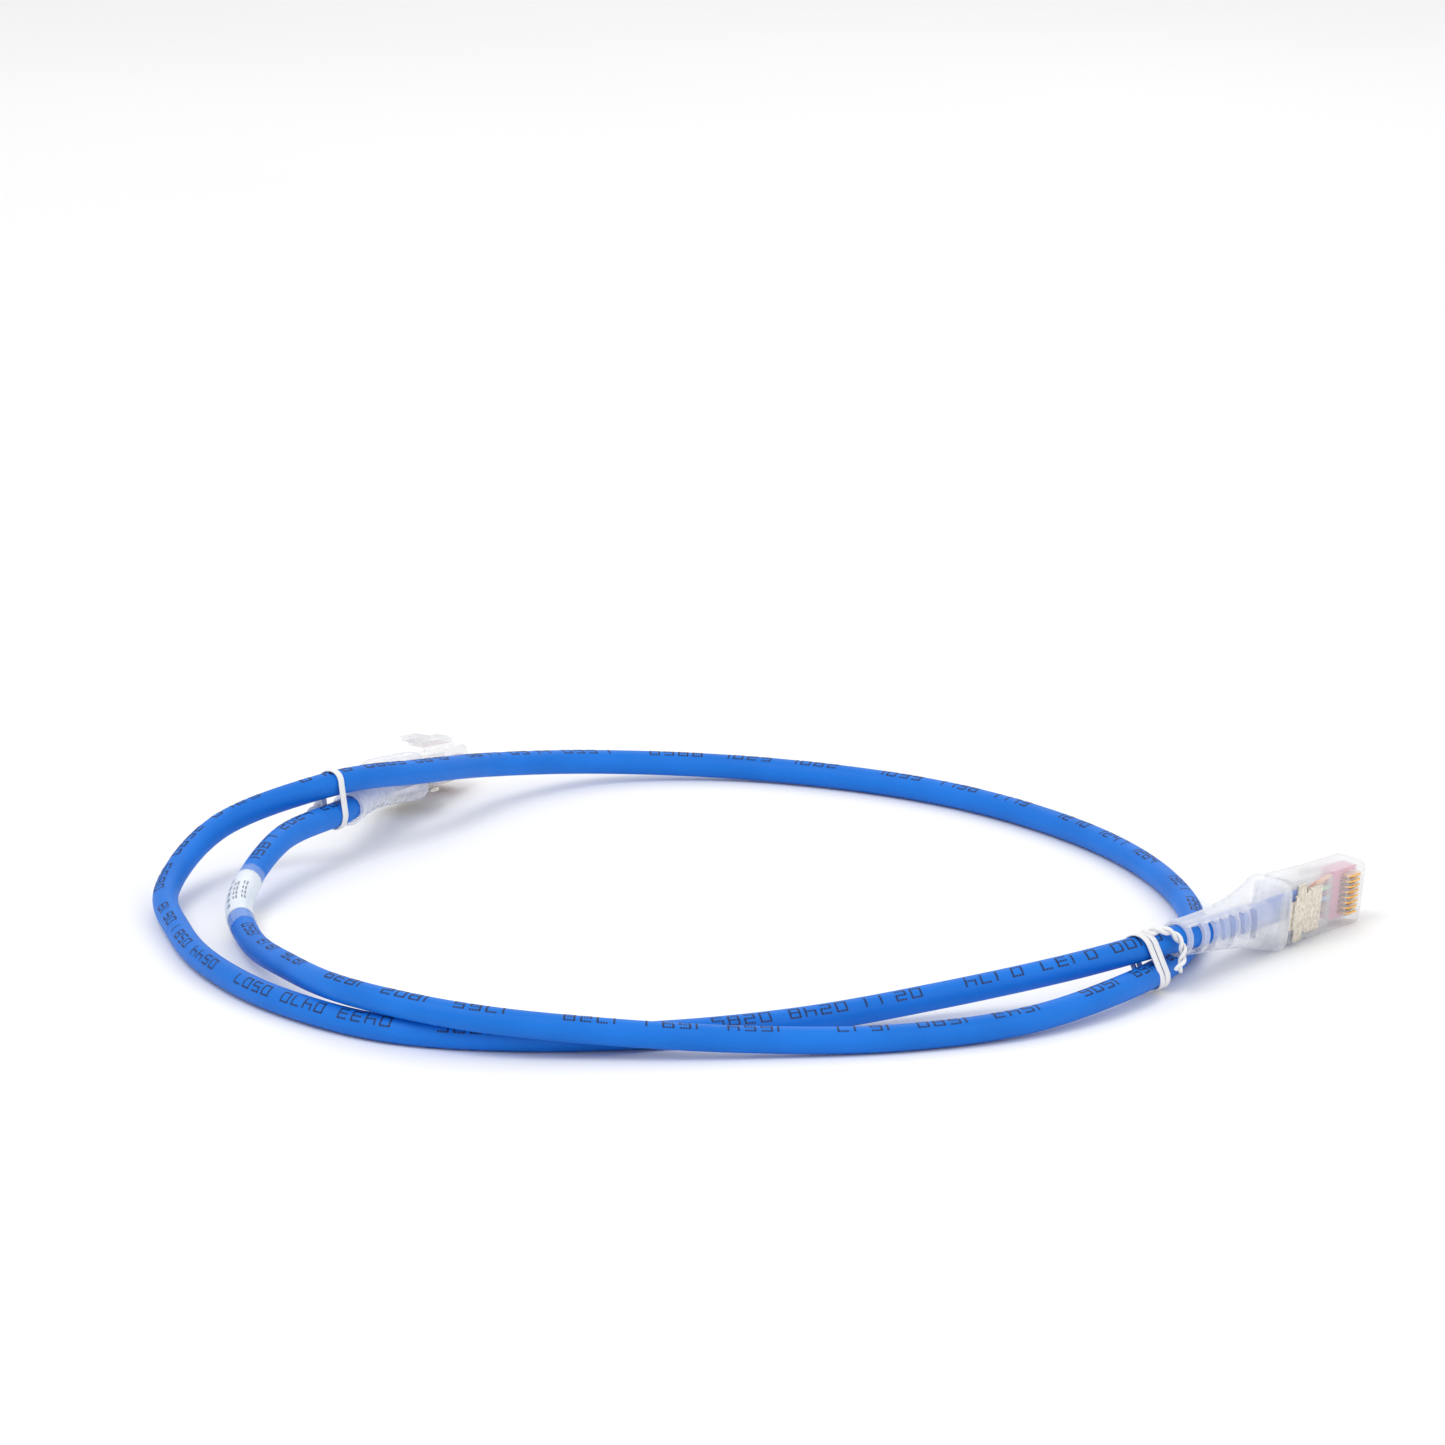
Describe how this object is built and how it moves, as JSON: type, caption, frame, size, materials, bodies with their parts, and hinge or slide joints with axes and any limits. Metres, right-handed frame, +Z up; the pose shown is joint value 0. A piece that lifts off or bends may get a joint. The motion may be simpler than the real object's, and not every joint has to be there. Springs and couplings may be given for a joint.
{
  "type": "ethernet patch cable",
  "caption": "Coiled network patch cable with a clear modular plug and a slotted strain relief boot at each end, tied in two places.",
  "frame": {"origin": "on the floor, at the centre of the bounding box of the two plugs with their boots", "axes": "+Z up, the coil lies flat on the floor in the XY plane"},
  "size_m": [0.2209, 0.1889, 0.0182],
  "materials": {
    "clear_plastic": "clear polycarbonate",
    "boot_plastic": "frosted clear",
    "load_bar_plastic": "tinted clear",
    "gold_contact": "gold plated",
    "nickel_strip": "pebbled nickel",
    "jacket_blue": "satin PVC",
    "label_film": "printed film",
    "laminate_film": "clear film",
    "tie_white": "matte",
    "wire_1": "satin insulation",
    "wire_2": "satin insulation",
    "wire_3": "satin insulation",
    "wire_4": "satin insulation",
    "wire_5": "satin insulation",
    "wire_6": "satin insulation",
    "wire_7": "satin insulation",
    "wire_8": "satin insulation"
  },
  "bodies": {
    "cable": {"housing_a": "clear_plastic", "load_bar_a": "load_bar_plastic", "clip_a": "nickel_strip", "boot_a": "boot_plastic", "contact_1_a": "gold_contact", "wire_1_a": "wire_1", "contact_2_a": "gold_contact", "wire_2_a": "wire_2", "contact_3_a": "gold_contact", "wire_3_a": "wire_3", "contact_4_a": "gold_contact", "wire_4_a": "wire_4", "contact_5_a": "gold_contact", "wire_5_a": "wire_5", "contact_6_a": "gold_contact", "wire_6_a": "wire_6", "contact_7_a": "gold_contact", "wire_7_a": "wire_7", "contact_8_a": "gold_contact", "wire_8_a": "wire_8", "housing_b": "clear_plastic", "load_bar_b": "load_bar_plastic", "clip_b": "nickel_strip", "boot_b": "boot_plastic", "contact_1_b": "gold_contact", "wire_1_b": "wire_1", "contact_2_b": "gold_contact", "wire_2_b": "wire_2", "contact_3_b": "gold_contact", "wire_3_b": "wire_3", "contact_4_b": "gold_contact", "wire_4_b": "wire_4", "contact_5_b": "gold_contact", "wire_5_b": "wire_5", "contact_6_b": "gold_contact", "wire_6_b": "wire_6", "contact_7_b": "gold_contact", "wire_7_b": "wire_7", "contact_8_b": "gold_contact", "wire_8_b": "wire_8", "cable_jacket": "jacket_blue", "pair_1": "wire_2", "pair_2": "wire_6", "pair_3": "wire_4", "pair_4": "wire_8", "label": "label_film", "label_laminate": "laminate_film", "tie_a": "tie_white", "tie_b": "tie_white"},
    "latch_a": {"latch_a": "clear_plastic"},
    "latch_b": {"latch_b": "clear_plastic"}
  },
  "joints": [
    {"name": "latch_a_flex", "type": "hinge", "parent": "cable", "child": "latch_a", "pos_m": [0.08898, -0.02408, 0.0065], "axis": [0.0913, -0.0403, 0.995], "range_deg": [0, 10], "stiffness_Nm_per_rad": 0.05},
    {"name": "latch_b_flex", "type": "hinge", "parent": "cable", "child": "latch_b", "pos_m": [-0.07767, 0.06831, 0.00844], "axis": [0.9243, -0.2825, 0.2566], "range_deg": [0, 10], "stiffness_Nm_per_rad": 0.05}
  ]
}
